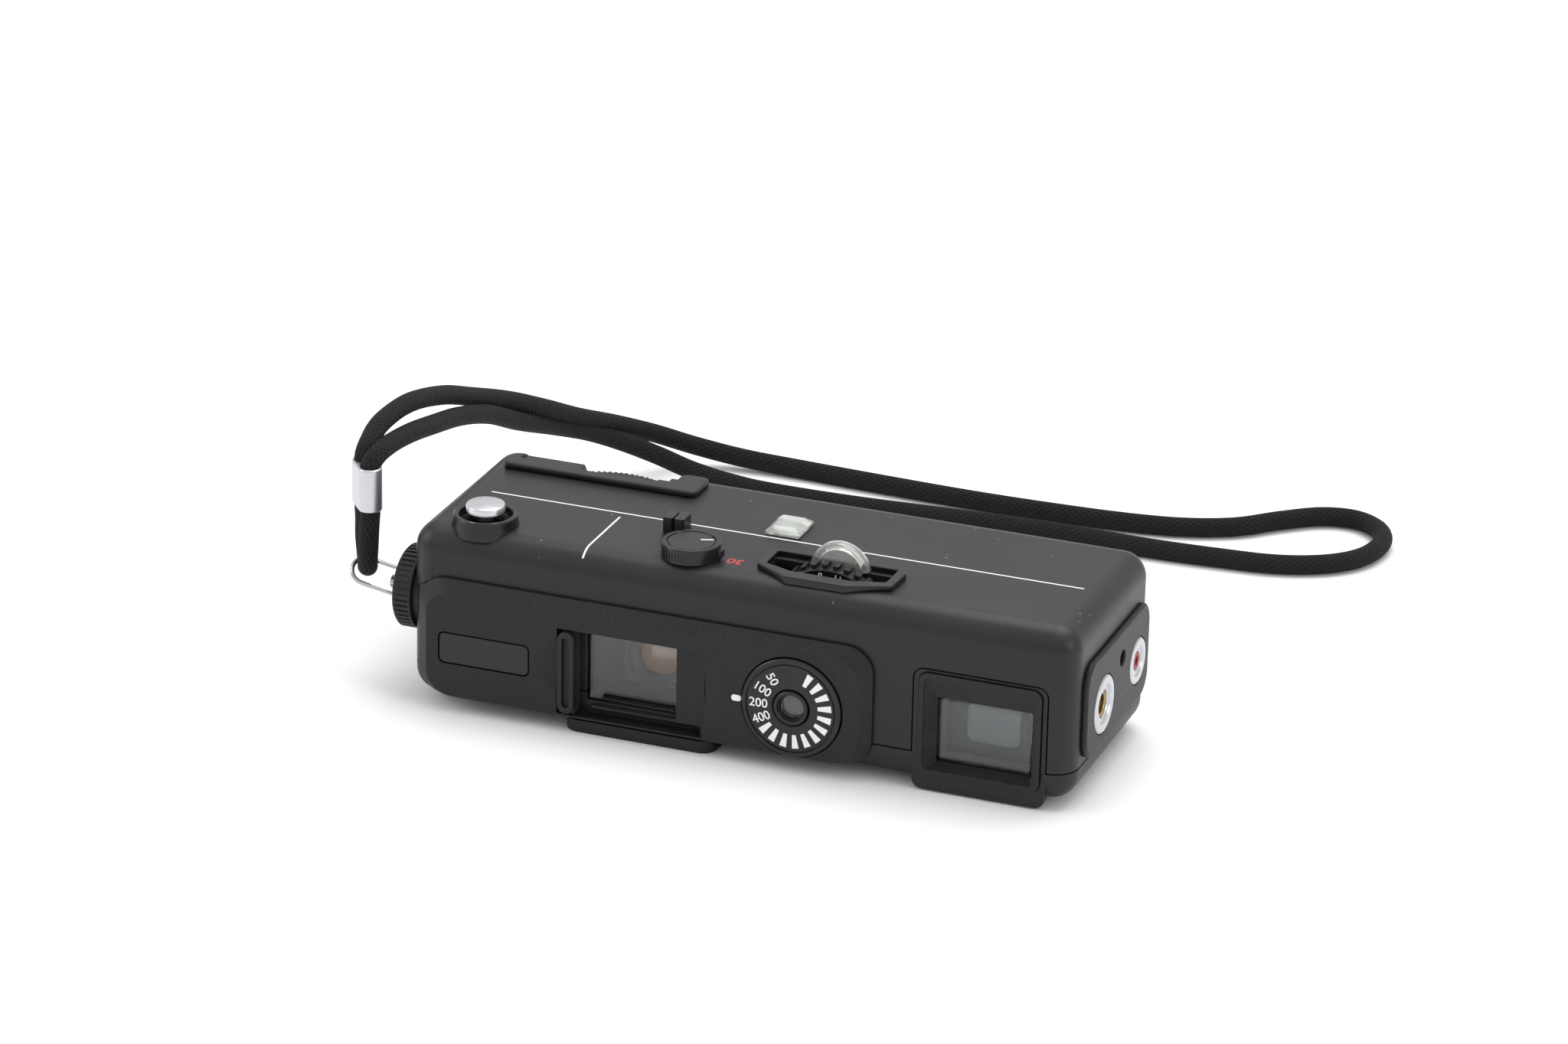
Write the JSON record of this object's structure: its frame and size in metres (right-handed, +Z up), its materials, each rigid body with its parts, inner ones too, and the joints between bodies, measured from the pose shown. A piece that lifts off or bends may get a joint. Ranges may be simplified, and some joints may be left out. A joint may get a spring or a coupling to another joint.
{
  "type": "subminiature spy camera",
  "caption": "Slim pocket film camera with a sliding lens cover, film speed dial, exposure wheel, thumb-wheel winder and a braided wrist strap.",
  "frame": {"origin": "middle of the body's footprint, on the surface that the camera stands on", "axes": "+X to the right as seen from the front, towards the viewfinder; the lens looks along -Y; +Z up"},
  "size_m": [0.1408, 0.1316, 0.0395],
  "materials": {
    "shell": "satin black enamel with fine dust",
    "grain": "fine-grained black moulding",
    "black_plastic": "matt black moulding",
    "dial": "semi-gloss black",
    "plate": "blue-black plate",
    "white": "white filled mark",
    "glass": "clear",
    "coated": "amber-coated optical glass",
    "clear": "clear moulded acrylic",
    "chrome": "polished",
    "steel": "bright",
    "alu": "bright anodised",
    "brass": "dull",
    "red": "red insulator",
    "board": "resin board",
    "blade": "blackened",
    "cord": "tight black braid",
    "lamp": "tinted"
  },
  "bodies": {
    "camera": {"top_shell": "shell", "base_shell": "shell", "front_panel": "grain", "name_plate": "plate", "index_mark": "white", "lens_surround": "black_plastic", "lens_window": "glass", "cell_bezel": "black_plastic", "cell_lens": "glass", "photocell": "brass", "lens_barrel": "black_plastic", "front_lens": "coated", "rear_lens": "glass", "film_gate": "black_plastic", "film_cassette": "black_plastic", "circuit_board": "board", "battery": "steel", "battery_contact": "brass", "viewfinder_bezel": "black_plastic", "finder_glass": "glass", "finder_objective": "glass", "finder_tube": "black_plastic", "eyepiece": "black_plastic", "end_panel": "grain", "flash_ring": "alu", "flash_contact": "brass", "release_ring": "alu", "release_socket": "red", "shutter_collar": "dial", "button_spring": "steel", "wheel_bezel": "dial", "pointer_dome": "clear", "meter_jewel": "clear", "indicator_lamps": "lamp", "winder_housing": "shell", "door_hinge": "steel", "base_pad": "black_plastic", "tripod_bush": "steel"},
    "cover": {"lens_cover": "black_plastic", "cover_grip": "grain"},
    "film_speed": {"asa_dial": "dial"},
    "release": {"shutter_button": "chrome"},
    "shutter": {"shutter_blade": "blade"},
    "shutter_speed": {"speed_dial": "dial", "speed_cap": "dial"},
    "exposure": {"exposure_wheel": "black_plastic", "scale_disc": "dial", "wheel_axle": "steel"},
    "aperture": {"aperture_blade": "blade"},
    "winder": {"thumb_wheel": "black_plastic", "wheel_spindle": "steel", "takeup_spool": "black_plastic"},
    "counter": {"frame_counter": "white"},
    "door": {"film_door": "shell", "pressure_plate": "steel"},
    "cap": {"battery_cap": "dial"},
    "strap": {"strap_stud": "chrome", "strap_bail": "chrome", "strap_ferrule": "chrome", "strap_cord": "cord"}
  },
  "joints": [
    {"name": "cover_slide", "type": "slide", "parent": "camera", "child": "cover", "axis": [1, 0, 0], "range_m": [0, 0.02]},
    {"name": "film_speed_turn", "type": "hinge", "parent": "camera", "child": "film_speed", "pos_m": [0.0101, -0.02, 0.0109], "axis": [0, -1, 0], "range_deg": [-24, 48]},
    {"name": "shutter_release", "type": "slide", "parent": "camera", "child": "release", "axis": [0, 0, -1], "range_m": [0, 0.0012], "stiffness_N_per_m": 600, "springref_m": -0.001, "deforming": ["button_spring"]},
    {"name": "shutter_swing", "type": "hinge", "parent": "camera", "child": "shutter", "pos_m": [-0.0195, -0.0068, 0.0179], "axis": [0, -1, 0], "range_deg": [0, 52]},
    {"name": "speed_turn", "type": "hinge", "parent": "camera", "child": "shutter_speed", "pos_m": [-0.00985, -0.0116, 0.0294], "axis": [0, 0, -1], "range_deg": [0, 45]},
    {"name": "exposure_turn", "type": "hinge", "parent": "camera", "child": "exposure", "pos_m": [0.0122, -0.0096, 0.0203], "axis": [0, 1, 0], "range_deg": [-80, 80]},
    {"name": "aperture_swing", "type": "hinge", "parent": "camera", "child": "aperture", "pos_m": [-0.0115, -0.0063, 0.0179], "axis": [0, 1, 0], "range_deg": [-22, 22]},
    {"name": "wind_turn", "type": "hinge", "parent": "camera", "child": "winder", "pos_m": [-0.0325, 0.0062, 0.026], "axis": [0, 0, 1], "continuous": true},
    {"name": "counter_turn", "type": "hinge", "parent": "camera", "child": "counter", "pos_m": [-0.0481, 0.009, 0.0254], "axis": [0, 0, 1], "continuous": true},
    {"name": "door_hinge_turn", "type": "hinge", "parent": "camera", "child": "door", "pos_m": [0.027, 0.0192, 0.016], "axis": [0, 0, -1], "range_deg": [0, 100]},
    {"name": "cap_turn", "type": "hinge", "parent": "camera", "child": "cap", "pos_m": [-0.056, -0.0106, 0.0162], "axis": [-1, 0, 0], "range_deg": [0, 60]},
    {"name": "strap_swivel", "type": "hinge", "parent": "camera", "child": "strap", "pos_m": [-0.058, -0.0106, 0.0162], "axis": [1, 0, 0], "range_deg": [0, 90]}
  ],
  "couplings": [
    {"joint": "shutter_swing", "follows": "shutter_release", "rad_per_m": 740},
    {"joint": "aperture_swing", "follows": "exposure_turn", "ratio": 0.25},
    {"joint": "counter_turn", "follows": "wind_turn", "ratio": -0.25}
  ]
}
